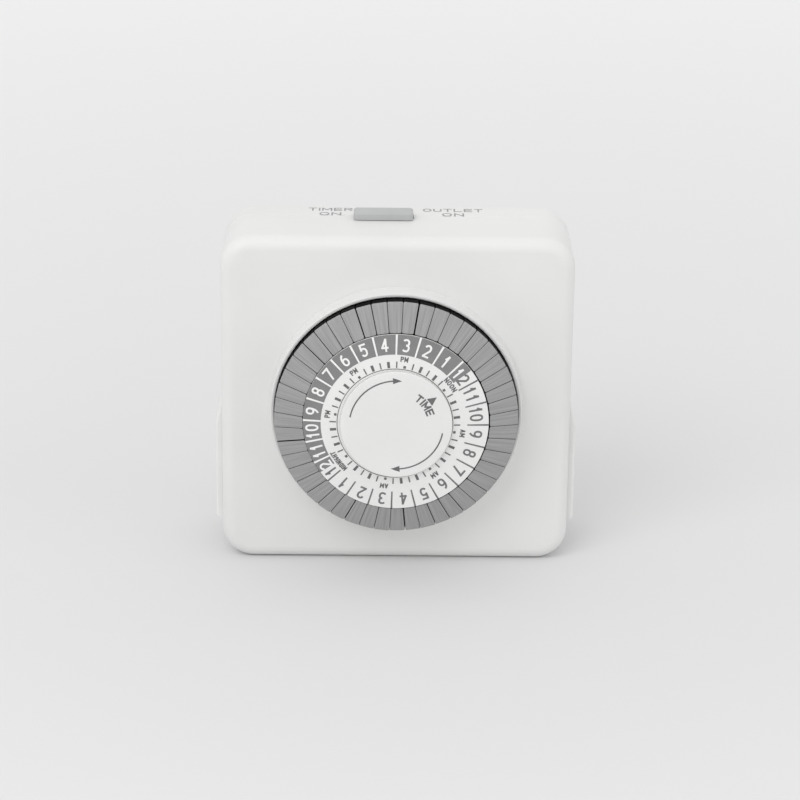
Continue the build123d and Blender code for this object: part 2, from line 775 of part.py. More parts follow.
def switch_lever():
    low = nose_height - lever_height / 2
    arm_front = lever_pin_depth - lever_arm_thickness
    arm = block(nose_side - nose_radius, lever_pin_side, arm_front, lever_pin_depth,
                low, low + lever_height)
    hub = Pos(lever_pin_side, lever_pin_depth, nose_height) * Cylinder(lever_hub_radius, lever_height)
    nose = rod(nose_radius, nose_tip, arm_front + joint_overlap, nose_side, nose_height)
    nose = fillet(nose.edges().group_by(Axis.Y)[0], nose_round)
    nub = rod(nose_radius, lever_pin_depth - joint_overlap, leaf_depth - slide_gap, nub_side,
              nose_height)
    bore = Pos(lever_pin_side, lever_pin_depth, nose_height) * Cylinder(
        lever_pin_radius + bearing_gap, lever_height + cut_past)
    return joined([arm, hub, nose, nub]) - bore


def lever_pin():
    length = lever_height + 2 * (bracket_thickness + slide_gap)
    return Pos(lever_pin_side, lever_pin_depth, nose_height) * Cylinder(lever_pin_radius, length)


def moving_contact():
    low = nose_height - leaf_width / 2
    back = leaf_depth + leaf_thickness
    leaf = block(leaf_tip_side, leaf_pivot_side, leaf_depth, back, low, low + leaf_width)
    tab_side = finger_side + knob_travel + finger_width / 2
    tab = block(tab_side - leaf_tab_width / 2, tab_side + leaf_tab_width / 2, leaf_depth, back,
                low + leaf_width / 2, low + leaf_width + leaf_tab_height)
    button = rod(contact_radius, back - leaf_thickness / 2, contact_face, contact_side, nose_height)
    return joined([leaf, leaf_eye(leaf_eye_radius, leaf_width), tab, button])


def leaf_eye(radius, length):
    """The round root of the leaf, which turns in a groove of the terminal."""
    return Pos(leaf_pivot_side, leaf_depth, nose_height) * Cylinder(radius, length)


def switch_terminal():
    low = nose_height - leaf_width / 2
    inner = leaf_pivot_side + fit_gap
    grip = block(inner, side_inside, leaf_depth - leaf_thickness, leaf_depth + 3 * leaf_thickness,
                 low, low + leaf_width)
    tab = block(inner, inner + strip_thickness, leaf_depth - leaf_thickness,
                leaf_depth + 3 * leaf_thickness, low - terminal_tab_height, low)
    return grip + tab - leaf_eye(leaf_eye_radius + bearing_gap, leaf_width)


def fixed_contact():
    button = rod(contact_radius, fixed_contact_face, strip_front + strip_thickness / 2,
                 contact_side, nose_height)
    low = nose_height - leaf_width / 2
    inner = blade_spacing / 2 - blade_height / 2
    strip = block(inner, contact_side + contact_radius + strip_thickness, strip_front, blade_front,
                  low, low + leaf_width)
    riser = block(inner, blade_spacing / 2 + blade_height / 2, strip_front, blade_front,
                  low, plug_height + blade_height / 2)
    return joined([button, strip, riser])


def plug_blade(side):
    """A flat plug blade with a flange in front of its carrier and a hole near its tip."""
    middle = side * blade_spacing / 2
    half = blade_thickness / 2
    tip = back_face + blade_length
    blade = block(middle - half, middle + half, blade_front, tip,
                  plug_height - blade_height / 2, plug_height + blade_height / 2)
    tip_edges = blade.faces().sort_by(Axis.Y)[-1].edges().filter_by(Axis.Z)
    blade = chamfer(tip_edges, blade_tip_chamfer)
    blade -= Pos(middle, tip - blade_hole_from_tip, plug_height) * Rot(0, 90, 0) * Cylinder(
        blade_hole_radius, blade_thickness + cut_past)
    flange = block(middle - half - blade_flange, middle + half + blade_flange, blade_front,
                   carrier_front, plug_height - blade_height / 2, plug_height + blade_height / 2)
    return blade + flange


def live_blade():
    return plug_blade(1)


def neutral_blade():
    return plug_blade(-1)


def ground_pin():
    """The round pin, with a collar through the back wall and a flange in front of the carrier."""
    shank = rod(ground_pin_radius, blade_front, back_face + ground_pin_length, 0, ground_pin_height)
    shank = fillet(shank.edges().group_by(Axis.Y)[-1], ground_pin_round)
    collar = rod(ground_collar_radius, blade_front, back_face, 0, ground_pin_height)
    flange = rod(ground_collar_radius + blade_flange, blade_front, carrier_front, 0, ground_pin_height)
    return joined([shank, collar, flange])


def blade_carrier():
    carrier = block(-carrier_width / 2, carrier_width / 2, carrier_front, back_inside,
                    ground_pin_height - carrier_bottom_margin, plug_height + carrier_top_margin)
    carrier -= blade_room(-1)
    carrier -= blade_room(1)
    return carrier - rod(ground_collar_radius + fit_gap, carrier_front, back_inside, 0, ground_pin_height)


def outlet_face(side):
    """An outlet seen from the side: the pad, a flange behind the wall and an insulating block."""
    pad = prism(pad_section(0), outlet_front, outlet_front + outlet_depth)
    outer_edges = [edge for edge in pad.edges() if edge.center().X > window_side + outlet_rise / 4]
    pad = fillet(outer_edges, outlet_edge_round)
    inner_end = outlet_block_reach
    insulator = block(inner_end, side_inside, outlet_front + outlet_block_inset,
                      outlet_front + outlet_depth - outlet_block_inset,
                      outlet_bottom + outlet_block_inset, outlet_top)
    face = joined([pad, insulator, flange_room(1, 0)])
    live_back = side > 0
    for place, height in ((1, live_slot_height if live_back else neutral_slot_height),
                          (-1, neutral_slot_height if live_back else live_slot_height)):
        middle = outlet_middle + place * slot_spacing / 2
        face -= block(inner_end - cut_past, window_side + outlet_rise + cut_past,
                      middle - slot_width / 2, middle + slot_width / 2,
                      slot_height_above_base - height / 2, slot_height_above_base + height / 2)
        face -= block(inner_end - cut_past, side_inside - fit_gap, middle - clip_half() - fit_gap,
                      middle + clip_half() + fit_gap,
                      slot_height_above_base - clip_height / 2 - fit_gap,
                      slot_height_above_base + clip_height / 2 + fit_gap)
    ground = slot_height_above_base - ground_drop
    face -= cross_rod(ground_hole_radius, inner_end - cut_past, window_side + outlet_rise + cut_past,
                      outlet_middle, ground)
    face -= cross_rod(ground_clip_radius + clip_sheet + fit_gap, inner_end - cut_past, side_inside,
                      outlet_middle, ground)
    return face if side > 0 else mirror(face, about=Plane.YZ)


def clip_half():
    """Half the thickness of a blade clip."""
    return clip_opening / 2 + clip_sheet


def blade_clip(side, place):
    """A folded spring clip that grips a blade of the plug in an outlet, with a tab for its wire."""
    middle = outlet_middle + place * slot_spacing / 2
    outer = side_inside - 2 * fit_gap
    inner = clip_reach
    low = slot_height_above_base - clip_height / 2
    clip = block(inner, outer, middle - clip_half(), middle + clip_half(), low, low + clip_height)
    clip -= block(inner + clip_sheet, outer + cut_past, middle - clip_opening / 2,
                  middle + clip_opening / 2, low - cut_past, low + clip_height + cut_past)
    clip += block(inner - clip_tab, inner + clip_sheet, middle - clip_sheet / 2, middle + clip_sheet / 2,
                  slot_height_above_base - wire_bend, slot_height_above_base + wire_bend)
    return clip if side > 0 else mirror(clip, about=Plane.YZ)


def ground_strap():
    """One strap with a round clip at each end, passing under the gear train."""
    ground = slot_height_above_base - ground_drop
    outer = side_inside - 2 * fit_gap
    inner = ground_clip_reach
    front = outlet_middle - ground_strap_width / 2
    back = outlet_middle + ground_strap_width / 2
    bottom = wall + ground_strap_lift
    strap = block(-inner - ground_strap_thickness, inner + ground_strap_thickness, front, back,
                  bottom, bottom + ground_strap_thickness)
    for side in (-1, 1):
        edge = sorted((side * inner, side * (inner + ground_strap_thickness)))
        strap += block(*edge, front, back, bottom, ground)
    for side in (-1, 1):
        low_end, high_end = sorted((side * inner, side * outer))
        strap += cross_rod(ground_clip_radius + clip_sheet, low_end, high_end, outlet_middle, ground)
        strap -= cross_rod(ground_clip_radius, low_end - cut_past, high_end + cut_past,
                           outlet_middle, ground)
        strap -= block(low_end - cut_past, high_end + cut_past, outlet_middle - clip_opening / 2,
                       outlet_middle + clip_opening / 2, ground, ground + 2 * ground_clip_radius)
    return strap


def live_clips():
    """The two clips that feed the outlets' live slots: at the back on the right, in front on the left."""
    return Compound(children=[blade_clip(1, 1), blade_clip(-1, -1)])


def neutral_clips():
    return Compound(children=[blade_clip(1, -1), blade_clip(-1, 1)])


def housing_screws():
    screws = []
    seat = back_face - counterbore_depth
    for side in (-1, 1):
        for height in (boss_bottom, boss_top):
            place = (side * boss_side, height)
            screw = rod(case_screw_radius, seat - case_screw_length, seat, *place)
            head = rod(case_screw_head_radius, seat, seat + case_screw_head, *place)
            slot_y = seat + case_screw_head - screw_recess_depth
            for turn in (0, 90):
                bar = Box(screw_recess_length, 2 * screw_recess_depth, screw_recess_width)
                head -= Pos(place[0], slot_y + screw_recess_depth, place[1]) * Rot(0, turn, 0) * bar
            screws.append(screw + head)
    return Compound(children=screws)


def override_knob():
    cap = block(knob_middle - knob_width / 2, knob_middle + knob_width / 2, knob_front,
                knob_front + knob_depth, case_height + knob_lift, case_height + knob_height)
    cap = fillet(cap.edges().filter_by(Axis.Z), knob_corner_radius)
    cap = fillet(cap.faces().sort_by(Axis.Z)[-1].edges(), knob_edge_round)
    stem = block(knob_middle - stem_width / 2, knob_middle + stem_width / 2,
                 stem_middle - stem_depth / 2, stem_middle + stem_depth / 2,
                 top_inside - slide_gap, case_height + knob_height / 2)
    return cap + stem


def override_slider():
    top = top_inside - slide_gap
    foot = block(knob_middle - foot_width / 2, knob_middle + foot_width / 2,
                 stem_middle - foot_depth / 2, stem_middle + foot_depth / 2, top - foot_thickness, top)
    bar_front = stem_middle - foot_depth / 2 - slide_bar_depth / 2
    bar = block(knob_middle, finger_side + finger_width / 2, bar_front, bar_front + slide_bar_depth,
                top - slide_bar_height, top)
    finger_back = leaf_depth - slide_gap
    shelf = block(finger_side - finger_width / 2, finger_side + finger_width / 2,
                  finger_back - finger_thickness, bar_front + slide_bar_depth, top - slide_bar_height, top)
    finger = block(finger_side - finger_width / 2, finger_side + finger_width / 2,
                   finger_back - finger_thickness, finger_back, finger_bottom, top)
    return joined([foot, bar, shelf, finger])


def wire(points, radius, bend):
    """A wire along straight runs joined by tangent arcs."""
    path = FilletPolyline(*points, radius=bend)
    start = Plane(origin=path @ 0, z_dir=path % 0)
    return sweep(start * Circle(radius), path=path)


def wires():
    """Four wires from the switch and the neutral blade to the clips, one from the ground pin to its
    strap, and two leads to the motor.
    """
    side = clip_reach - clip_tab - wire_radius - bearing_gap
    height = slot_height_above_base
    low_run = nose_height - wire_low_drop
    high_run = nose_height - wire_high_drop
    cross_run = nose_height - wire_cross_drop
    back = outlet_middle + slot_spacing / 2
    front = outlet_middle - slot_spacing / 2
    terminal = leaf_pivot_side + fit_gap - bearing_gap
    blade_side = blade_spacing / 2
    beside_carrier = carrier_front - wire_radius - bearing_gap
    flange_side = blade_side + blade_thickness / 2 + blade_flange + bearing_gap
    live_right = wire([
        (side, back, height),
        (side, back, low_run),
        (side + wire_reach, leaf_depth + leaf_thickness, low_run),
        (terminal, leaf_depth + leaf_thickness, low_run),
    ], wire_radius, wire_bend)
    live_left = wire([
        (-side, front, height),
        (-side, wire_front_run, height),
        (-side, wire_front_run, high_run),
        (terminal, wire_front_run, high_run),
    ], wire_radius, wire_bend)
    neutral_right = wire([
        (side, front, height),
        (side, wire_middle_run, height),
        (side, wire_middle_run, cross_run),
        (-blade_side, wire_middle_run, cross_run),
        (-blade_side, wire_middle_run, plug_height),
    ], wire_radius, wire_bend)
    neutral_left = wire([
        (-side, back, height),
        (-side, back, plug_height - wire_bend),
        (-side + wire_reach, beside_carrier, plug_height),
        (-flange_side, beside_carrier, plug_height),
    ], wire_radius, wire_bend)
    strap_top = wall + ground_strap_lift + ground_strap_thickness + bearing_gap
    earth = wire([
        (ground_wire_side, outlet_middle, strap_top),
        (ground_wire_side, outlet_middle, strap_top + ground_wire_rise),
        (ground_wire_side, beside_carrier, strap_top + 2 * ground_wire_rise),
        (ground_wire_side, beside_carrier, ground_pin_height),
        (ground_collar_radius + blade_flange + bearing_gap, beside_carrier, ground_pin_height),
    ], wire_radius, wire_bend)
    leads = []
    for place, end in ((1, strip_front - bearing_gap), (-1, blade_front - bearing_gap)):
        start_side = place * lead_side
        rim = motor_axis[1] + math.sqrt(motor_radius ** 2 - (lead_side - lead_radius) ** 2)
        run = end - lead_radius
        leads.append(wire([
            (start_side, motor_plate_back + lead_inset, rim + bearing_gap),
            (start_side, motor_plate_back + lead_inset, rim + lead_rise),
            (start_side, run, rim + lead_rise),
            (start_side, run, plug_height - 2 * wire_bend),
            (place * blade_side, run, plug_height + wire_bend / 2),
        ], lead_radius, lead_bend))
    return Compound(children=[live_right, live_left, neutral_right, neutral_left, earth] + leads)


sub_parts = {
    "front_housing": front_housing(),
    "rear_housing": rear_housing(),
    "left_outlet_face": outlet_face(-1),
    "right_outlet_face": outlet_face(1),
    "dial_wheel": dial_wheel(),
    "number_plate": number_plate(),
    "centre_disc": centre_disc(),
    "dial_spindle": dial_spindle(),
    "override_knob": override_knob(),
    "override_slider": override_slider(),
    "switch_lever": switch_lever(),
    "lever_pin": lever_pin(),
    "moving_contact": moving_contact(),
    "switch_terminal": switch_terminal(),
    "fixed_contact": fixed_contact(),
    "movement_plate": movement_plate(),
    "movement_screws": movement_screws(),
    "gear_arbors": gear_arbors(),
    "second_gear": second_gear(),
    "third_gear": third_gear(),
    "clutch_wheel": clutch_wheel(),
    "dial_pinion": dial_pinion(),
    "motor_plate": motor_plate(),
    "motor_can": motor_can(),
    "motor_coil": motor_coil(),
    "motor_gearcase": motor_gearcase(),
    "motor_output": motor_output(),
    "live_blade": live_blade(),
    "neutral_blade": neutral_blade(),
    "ground_pin": ground_pin(),
    "blade_carrier": blade_carrier(),
    "live_clips": live_clips(),
    "neutral_clips": neutral_clips(),
    "ground_strap": ground_strap(),
    "wires": wires(),
    "housing_screws": housing_screws(),
}
for hour in range(24):
    sub_parts["pins_hour_%02d" % hour] = hour_pins(hour)

os.makedirs("parts", exist_ok=True)
for name, shape in sub_parts.items():
    export_step(Pos(0, -origin_depth, 0) * shape, "parts/%s.step" % name)
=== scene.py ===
import json
import math
import bmesh
import bpy
import numpy as np
from mathutils import Matrix, Vector


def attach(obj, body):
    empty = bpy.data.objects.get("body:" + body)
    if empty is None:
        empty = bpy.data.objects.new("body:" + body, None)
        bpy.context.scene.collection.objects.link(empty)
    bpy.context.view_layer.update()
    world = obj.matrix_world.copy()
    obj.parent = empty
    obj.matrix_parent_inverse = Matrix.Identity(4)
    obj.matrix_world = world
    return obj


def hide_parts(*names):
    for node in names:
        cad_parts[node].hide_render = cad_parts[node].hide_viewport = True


# plug-in timer: its case and works come from the frame, the pins and all the print are made here
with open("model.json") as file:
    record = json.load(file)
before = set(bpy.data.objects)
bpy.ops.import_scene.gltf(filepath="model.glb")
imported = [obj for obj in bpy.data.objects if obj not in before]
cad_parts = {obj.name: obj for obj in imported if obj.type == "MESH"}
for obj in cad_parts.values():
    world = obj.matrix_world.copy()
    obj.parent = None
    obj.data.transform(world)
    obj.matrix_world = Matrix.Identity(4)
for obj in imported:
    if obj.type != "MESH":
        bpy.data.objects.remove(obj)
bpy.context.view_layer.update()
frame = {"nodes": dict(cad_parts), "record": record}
rng = np.random.default_rng(24)

# lengths are in mm until a mesh is made; the case's face is flat at caseFront, its top at caseTop
mm = 0.001
caseFront = -17.8
caseTop = 76
dialHeight = 37.0
# bearings are degrees clockwise from the top; the dial stands turned on by dialTurn
dialTurn = 1.1
noonBearing = 52.5 + dialTurn
hourTurn = 15
halfHourTurn = 7.5
# the number plate sits a little to the left in its bore, its scale a little further, and its
# band and numerals, printed in a pass of their own, further still
plate = {"rise": 10.3, "crown": 0.7, "flat": 12.3, "edge": 20.4,
         "centre": -0.1, "scale": -0.3, "band": -0.48}


def meshPiece(name, points, faces, materials, body, sharp=38, tones=None):
    # points in mm; doubles are merged and the faces turned outward before the piece is made
    mesh = bpy.data.meshes.new(name)
    mesh.from_pydata((np.asarray(points, float) * mm).tolist(), [], faces)
    if tones:
        mesh.polygons.foreach_set("material_index", tones)
    weld = bmesh.new()
    weld.from_mesh(mesh)
    bmesh.ops.remove_doubles(weld, verts=weld.verts, dist=0.001 * mm)
    bmesh.ops.recalc_face_normals(weld, faces=weld.faces)
    weld.to_mesh(mesh)
    weld.free()
    mesh.shade_smooth()
    mesh.set_sharp_from_angle(angle=math.radians(sharp))
    for material in materials:
        mesh.materials.append(material)
    piece = bpy.data.objects.new(name, mesh)
    bpy.context.scene.collection.objects.link(piece)
    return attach(piece, body) if body else piece


def ringFaces(rings, count, first=0, ends=True):
    # four-sided faces between neighbouring rings, and one face over each end
    ring, step = np.meshgrid(np.arange(rings - 1), np.arange(count), indexing="ij")
    here = first + ring * count + step
    beside = first + ring * count + (step + 1) % count
    faces = np.stack([here, beside, beside + count, here + count], -1).reshape(-1, 4).tolist()
    if ends:
        last = first + (rings - 1) * count
        faces += [list(range(first, first + count))[::-1], list(range(last, last + count))]
    return faces


def outline(corners, cut, steps=5):
    # each corner becomes a parabola from cut before it to cut after it
    corners = np.asarray(corners, float)
    before = np.roll(corners, 1, 0) - corners
    after = np.roll(corners, -1, 0) - corners
    start = corners + before / np.linalg.norm(before, axis=1)[:, None] * cut
    stop = corners + after / np.linalg.norm(after, axis=1)[:, None] * cut
    t = np.linspace(0, 1, steps)[None, :, None]
    bend = (1 - t) ** 2 * start[:, None] + 2 * t * (1 - t) * corners[:, None]
    return (bend + t ** 2 * stop[:, None]).reshape(-1, 2)


def onDial(side, radius, depth, bearing, middle=0.0):
    # side runs clockwise and radius outward, at a bearing clockwise from the top
    angle = np.radians(bearing)
    x = middle + radius * np.sin(angle) + side * np.cos(angle)
    z = dialHeight + radius * np.cos(angle) - side * np.sin(angle)
    return np.stack([x, np.broadcast_to(depth, x.shape), z], -1)


def plateFront(x, z):
    # the number plate is flat under the disc and falls a little towards its edge
    radius = np.hypot(x - plate["centre"], z - dialHeight)
    share = (radius - plate["flat"]) / (plate["edge"] - plate["flat"])
    return caseFront - plate["rise"] + plate["crown"] * np.clip(share, 0, 1)


def numeralBearing(hour):
    # the hours run counterclockwise, so the clockwise dial brings each one up in its turn
    return noonBearing - (hour - 12) * hourTurn


def linear(colour):
    # an sRGB hex colour as linear red, green, blue and full alpha
    parts = [int(colour[i:i + 2], 16) / 255 for i in (1, 3, 5)]
    return [c / 12.92 if c <= 0.04045 else ((c + 0.055) / 1.055) ** 2.4 for c in parts] + [1.0]


def add(tree, kind, values=None, links=None, stops=(), **settings):
    # one node with its settings, its values, the links into it and the stops of its colour ramp
    node = tree.nodes.new(kind)
    for key, value in settings.items():
        setattr(node, key, value)
    for socket, value in (values or {}).items():
        node.inputs[socket].default_value = value
    for socket, source in (links or {}).items():
        tree.links.new(source, node.inputs[socket])
    for element, (position, colour) in enumerate(stops):
        node.color_ramp.elements[element].color = linear(colour)
        node.color_ramp.elements[element].position = position
    return node


def surfaced(name, look, pattern):
    # a slow pattern shifts the colour, a fine one the roughness and the relief; noise keeps to the
    # middle of its range, so what lies between 0.3 and 0.7 is spread over the whole of it
    material = bpy.data.materials.new(name)
    material.use_nodes = True
    tree = material.node_tree
    tree.nodes.clear()
    place = add(tree, "ShaderNodeTexCoord").outputs["Object"]
    slow, fine = pattern(tree, place, look)
    colour = add(tree, "ShaderNodeValToRGB", links={"Fac": slow},
                 stops=zip(look.get("stops", (0.35, 0.65)), look["colours"]))
    smooth, rough = look["roughness"]
    dullness = add(tree, "ShaderNodeMapRange", links={"Value": fine},
                   values={"From Min": 0.3, "From Max": 0.7, "To Min": smooth, "To Max": rough})
    bump = add(tree, "ShaderNodeBump", links={"Height": fine},
               values={"Strength": look["relief"], "Distance": look["depth"] * mm})
    shader = add(tree, "ShaderNodeBsdfPrincipled", values=look.get("uniform"),
                 links={"Base Color": colour.outputs["Color"],
                        "Roughness": dullness.outputs["Result"], "Normal": bump.outputs["Normal"]})
    add(tree, "ShaderNodeOutputMaterial", links={"Surface": shader.outputs["BSDF"]})
    return material


def meltAndGrain(tree, place, look):
    # a slow drift of tone from the flow of the melt, and the fine grain of a sparked mould
    return [add(tree, "ShaderNodeTexNoise", links={"Vector": place},
                values={"Scale": 1 / (look[size] * mm), "Detail": 2.0}).outputs["Fac"]
            for size in ("drift", "grain")]


def cloudAndLines(tree, place, look):
    # cloudy handling marks, and rolling or turning lines, long one way and close the other
    along = [1 / (length * mm) for length in look["lines"]]
    stretched = add(tree, "ShaderNodeMapping", values={"Scale": along}, links={"Vector": place})
    lines = add(tree, "ShaderNodeTexNoise", values={"Scale": 1.0, "Detail": 3.0},
                links={"Vector": stretched.outputs["Vector"]})
    cloud = add(tree, "ShaderNodeTexNoise", links={"Vector": place},
                values={"Scale": 1 / (look["cloud"] * mm), "Detail": 2.0})
    return cloud.outputs["Fac"], lines.outputs["Fac"]


def outwardStreaks(tree, place, look):
    # grain that runs out from the dial's axis: fine across the cap at its middle radius, long
    # along it; one pattern serves as the slow and the fine one
    centred = add(tree, "ShaderNodeMapping", links={"Vector": place},
                  values={"Location": (0, 0, -dialHeight * mm)}).outputs["Vector"]
    parts = add(tree, "ShaderNodeSeparateXYZ", links={"Vector": centred}).outputs
    angle = add(tree, "ShaderNodeMath", operation="ARCTAN2", links={0: parts["X"], 1: parts["Z"]})
    radius = add(tree, "ShaderNodeVectorMath", operation="LENGTH", links={0: centred})
    across = add(tree, "ShaderNodeMath", operation="MULTIPLY", links={0: angle.outputs[0]},
                 values={1: look["middle"] / look["across"]})
    outward = add(tree, "ShaderNodeMath", operation="MULTIPLY",
                  links={0: radius.outputs["Value"]}, values={1: 1 / (look["along"] * mm)})
    polar = add(tree, "ShaderNodeCombineXYZ",
                links={"X": across.outputs[0], "Y": outward.outputs[0]}).outputs[0]
    streak = add(tree, "ShaderNodeTexNoise", values={"Scale": 1.0, "Detail": 2.0},
                 links={"Vector": polar}).outputs["Fac"]
    return streak, streak


def moulded(name, look):
    return surfaced(name, {"depth": 0.02, **look}, meltAndGrain)


def sheetMetal(name, look):
    metal = {"depth": 0.01, "relief": 0.25, "cloud": 4, "uniform": {"Metallic": 1.0}}
    return surfaced(name, {**metal, **look}, cloudAndLines)


# sizes in a look are in mm; the grain of plastics, inks and lacquer and the lines of metals are
# finer in life, and are drawn as coarse as they need to show

# satin ABS gives the case soft, broad highlights over the sparked grain of its mould
caseAbs = moulded("satinCaseAbs", {"colours": ("#e2e2e1", "#e6e6e5"), "drift": 30, "grain": 0.5,
                                   "relief": 0.25, "roughness": (0.42, 0.5)})
# moulded urea makes the side pads a harder, slightly glossier white
outletUrea = moulded("glossyOutletUrea", {"colours": ("#e4e4e2", "#e9e9e8"), "drift": 20,
                                          "grain": 0.8, "relief": 0.12,
                                          "roughness": (0.28, 0.36)})
# polished ABS: a clear sheen, almost without grain
discAbs = moulded("polishedDiscAbs", {"colours": ("#e6e6e5", "#e9e9e8"), "drift": 15,
                                      "grain": 0.9, "relief": 0.08, "roughness": (0.36, 0.42)})
# white printed plate under a dull lacquer, the brightest white of the dial
plateLacquer = moulded("lacqueredNumberPlate", {"colours": ("#e8e8e7", "#ebebea"), "drift": 12,
                                                "grain": 0.6, "relief": 0.1,
                                                "roughness": (0.45, 0.52)})
# carbon black acetal that swallows the light in the gaps
dialAcetal = moulded("blackDialAcetal", {"colours": ("#161616", "#1e1e1e"), "drift": 8,
                                         "grain": 0.7, "relief": 0.2, "roughness": (0.45, 0.6)})
# moulded grey ABS, cool and satin
knobAbs = moulded("greyKnobAbs", {"colours": ("#b3b4b4", "#b9baba"), "drift": 6, "grain": 0.5,
                                  "relief": 0.2, "roughness": (0.4, 0.48)})
# unpigmented acetal, milky and a little yellow
gearAcetal = moulded("naturalGearAcetal", {"colours": ("#dedcd2", "#e8e6dd"), "drift": 5,
                                           "grain": 0.6, "relief": 0.2,
                                           "roughness": (0.38, 0.48)})
# pressed phenolic, dark brown and mottled by its wood flour
carrierPhenolic = moulded("brownCarrierPhenolic", {"colours": ("#2a211c", "#3a2f28"), "drift": 3,
                                                   "grain": 0.4, "relief": 0.35,
                                                   "roughness": (0.4, 0.55)})
# extruded vinyl, a dull greyish white
wireVinyl = moulded("whiteWireVinyl", {"colours": ("#d6d6d2", "#e0e0dc"), "drift": 4,
                                       "grain": 0.5, "relief": 0.15, "roughness": (0.4, 0.5)})
# mid grey ABS with the drawn grain of the mould's blade, in streaks that run outward
capAbs = surfaced("grainedCapAbs", {"colours": ("#929292", "#a2a2a2"), "across": 0.45,
                                    "along": 6.0, "middle": 24, "relief": 0.4, "depth": 0.03,
                                    "roughness": (0.42, 0.58)}, outwardStreaks)
# the pins' legs and the caps' walls, black acetal with hardly a sheen
pinAcetal = moulded("blackPinAcetal", {"colours": ("#0f0f0f", "#171717"), "drift": 6,
                                       "grain": 0.5, "relief": 0.2, "roughness": (0.42, 0.55),
                                       "uniform": {"Specular IOR Level": 0.02}})
# tampo print, a thin dull film of ink that turns mid grey over white
darkInk = moulded("darkTampoInk", {"colours": ("#6e6e6e", "#767676"), "drift": 2, "grain": 0.4,
                                   "relief": 0.1, "roughness": (0.5, 0.6)})
# the band of the afternoon hours, an even lighter grey
bandInk = moulded("greyBandInk", {"colours": ("#7f7f7f", "#858585"), "drift": 3, "grain": 0.5,
                                  "relief": 0.1, "roughness": (0.5, 0.58)})
# the numerals on the band, a dull full white
whiteInk = moulded("whiteTampoInk", {"colours": ("#f0f0ef", "#f4f4f3"), "drift": 2,
                                     "grain": 0.5, "relief": 0.1, "roughness": (0.5, 0.58)})
# small marks, mixed darker so that they stay clear
scaleInk = moulded("thinTampoInk", {"colours": ("#626262", "#6a6a6a"), "drift": 2, "grain": 0.4,
                                    "relief": 0.1, "roughness": (0.5, 0.6)})
# the labels of the top, a weak print that stays pale on the case's grain
paleInk = moulded("paleTampoInk", {"colours": ("#949494", "#9c9c9c"), "drift": 2, "grain": 0.4,
                                   "relief": 0.1, "roughness": (0.5, 0.6)})
# turned steel, bright with close rings
turnedSteel = sheetMetal("turnedArborSteel", {"colours": ("#a9aaab", "#b8b9ba"),
                                              "lines": (0.3, 3.0, 0.3),
                                              "roughness": (0.2, 0.32)})
# zinc plated steel, cold and a little cloudy
screwSteel = sheetMetal("zincPlatedScrewSteel", {"colours": ("#a2a5a8", "#b5b7b9"),
                                                 "lines": (0.3, 0.3, 0.3),
                                                 "roughness": (0.26, 0.4)})
# rolled steel sheet, satin with faint lines
plateSteel = sheetMetal("rolledPlateSteel", {"colours": ("#9fa1a3", "#adafb1"),
                                             "lines": (6.0, 6.0, 0.25),
                                             "roughness": (0.3, 0.42)})
# drawn steel, its lines along the draw
canSteel = sheetMetal("drawnMotorCanSteel", {"colours": ("#a5a6a4", "#b6b7b5"),
                                             "lines": (0.4, 5.0, 0.4),
                                             "roughness": (0.28, 0.4)})
# enamelled copper wire, warm, with the lines of the winding
coilCopper = sheetMetal("enamelledCoilCopper", {"colours": ("#a4552c", "#bd6a3b"),
                                                "lines": (4.0, 0.3, 4.0),
                                                "roughness": (0.3, 0.42)})
# rolled spring brass, deeper and satin
contactBrass = sheetMetal("springContactBrass", {"colours": ("#b9994f", "#c9aa60"),
                                                 "lines": (5.0, 5.0, 0.3),
                                                 "roughness": (0.24, 0.36)})
# stamped and tumbled brass, paler and brighter, with a long streak of light
bladeBrass = sheetMetal("stampedBladeBrass", {"colours": ("#cbb074", "#d6bf86"),
                                              "lines": (3.0, 8.0, 0.3),
                                              "roughness": (0.18, 0.3)})

finishes = {
    "case_plastic": caseAbs, "outlet_plastic": outletUrea, "disc_plastic": discAbs,
    "number_plate": plateLacquer, "dial_black": dialAcetal, "pin_plastic": capAbs,
    "knob_plastic": knobAbs, "gear_plastic": gearAcetal, "carrier_plastic": carrierPhenolic,
    "steel": turnedSteel, "screw_steel": screwSteel, "plate_steel": plateSteel,
    "motor_steel": canSteel, "coil_copper": coilCopper, "contact_brass": contactBrass,
    "blade_brass": bladeBrass, "wire_cover": wireVinyl,
}
for entry in frame["record"]["subparts"]:
    slots = frame["nodes"][entry["node"]].data.materials
    slots.clear()
    slots.append(finishes[entry["material_slot"]])
print("materials", len(finishes))


# push-in pins, for each hour two wedge-shaped caps with their legs; rises are over the case's
# face, and lead is how far the caps stand on from the numerals, in degrees
cap = {"inner": 20.58, "outer": 27.0, "innerRise": 9.4, "outerRise": 7.15, "backRise": 4.3,
       "gap": 0.07, "sideRound": 0.13, "outerRound": 0.32, "corner": 0.3, "foot": 0.12,
       "border": 0.35, "lead": 1.55}
leg = {"width": 2.2, "inner": 22.3, "outer": 25.3, "top": -4.9, "end": 2.6, "corner": 0.25,
       "round": 0.25}
# how much further apart two caps stand, by the boundary between them, which is counted clockwise
# from the one nearest the top
widerGaps = {1: 0.22, 5: 0.06, 17: 0.06, 19: 0.06, 20: 0.05, 21: 0.06, 23: 0.16, 27: 0.12,
             30: 0.05, 34: 0.18, 41: 0.1, 42: 0.05, 45: 0.14, 46: 0.06}
# the most that one pin differs from the next
looseness = {"gap": 0.03, "lift": 0.08, "short": 0.08}


